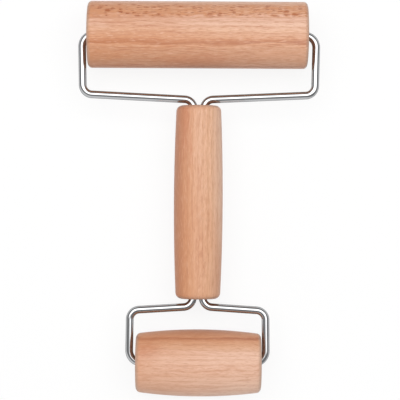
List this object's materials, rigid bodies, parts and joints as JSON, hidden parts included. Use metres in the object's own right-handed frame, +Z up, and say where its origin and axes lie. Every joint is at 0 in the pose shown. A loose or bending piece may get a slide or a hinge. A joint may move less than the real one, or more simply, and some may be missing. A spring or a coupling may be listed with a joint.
{
  "type": "double-ended pastry roller",
  "caption": "Hand roller for pastry and pizza dough: a turned wooden handle with bent-wire yokes that carry a long straight roller and a short barrel roller, free to spin.",
  "frame": {"origin": "centre of the tool's outline, on the surface that it lies on", "axes": "+Y along the handle towards the long roller, +X along both roller axles, +Z up from the surface that the rollers lie on"},
  "size_m": [0.1102, 0.18, 0.0305],
  "materials": {
    "handle_beech": "bare sanded beech, grain along the handle",
    "long_roller_beech": "bare sanded beech, grain along the axle",
    "short_roller_beech": "bare sanded beech, grain along the axle",
    "steel_wire": "polished bright wire"
  },
  "bodies": {
    "handle_and_yokes": {"handle": "handle_beech", "long_yoke": "steel_wire", "short_yoke": "steel_wire"},
    "long_roller": {"long_roller": "long_roller_beech"},
    "short_roller": {"short_roller": "short_roller_beech"}
  },
  "joints": [
    {"name": "long_roller_spin", "type": "hinge", "parent": "handle_and_yokes", "child": "long_roller", "pos_m": [-0.0007, 0.07477, 0.01523], "axis": [1, 0, 0], "continuous": true},
    {"name": "short_roller_spin", "type": "hinge", "parent": "handle_and_yokes", "child": "short_roller", "pos_m": [0.00045, -0.07477, 0.01523], "axis": [1, 0, 0], "continuous": true}
  ]
}
